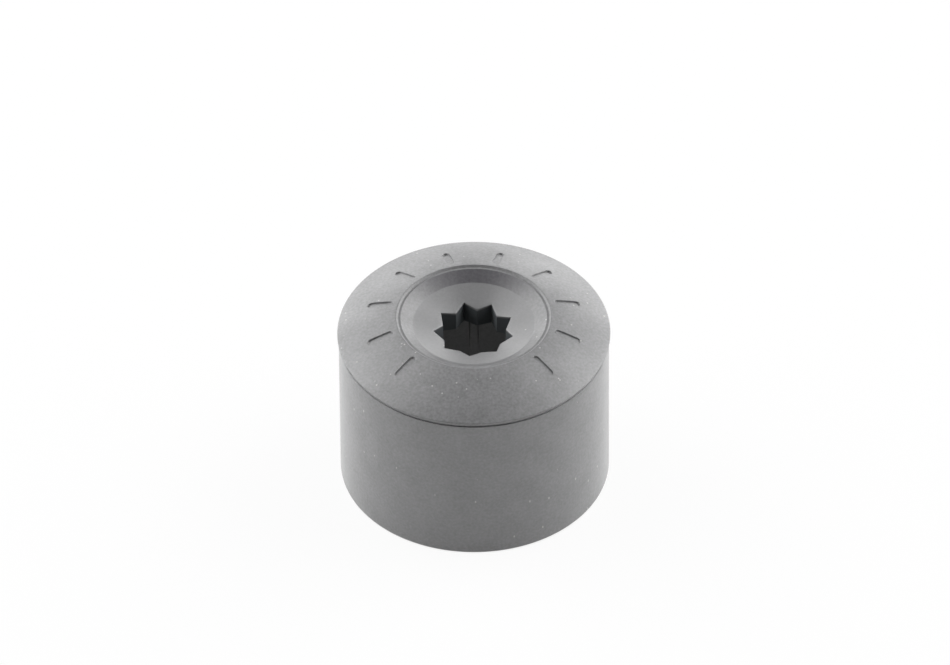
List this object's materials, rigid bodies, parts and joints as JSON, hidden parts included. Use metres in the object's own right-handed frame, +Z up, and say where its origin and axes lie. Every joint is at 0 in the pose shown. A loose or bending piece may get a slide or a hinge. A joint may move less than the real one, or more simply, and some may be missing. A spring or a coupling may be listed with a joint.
{
  "type": "wheel bolt cover cap",
  "caption": "Round moulded cap that pushes over a hexagonal wheel bolt head, with a domed crown, a shallow dish and a star-shaped puller hole.",
  "frame": {"origin": "centre of the round open rim, on the surface that the cap stands on", "axes": "+Z up along the cap's axis, from the open rim to the crown; -Y is the side that the marks leave bare"},
  "size_m": [0.0234, 0.0234, 0.0169],
  "materials": {
    "cap_plastic": "dark grey moulded plastic with a fine satin texture and a few dust specks"
  },
  "bodies": {
    "root": {"cover_cap": "cap_plastic"}
  },
  "joints": []
}
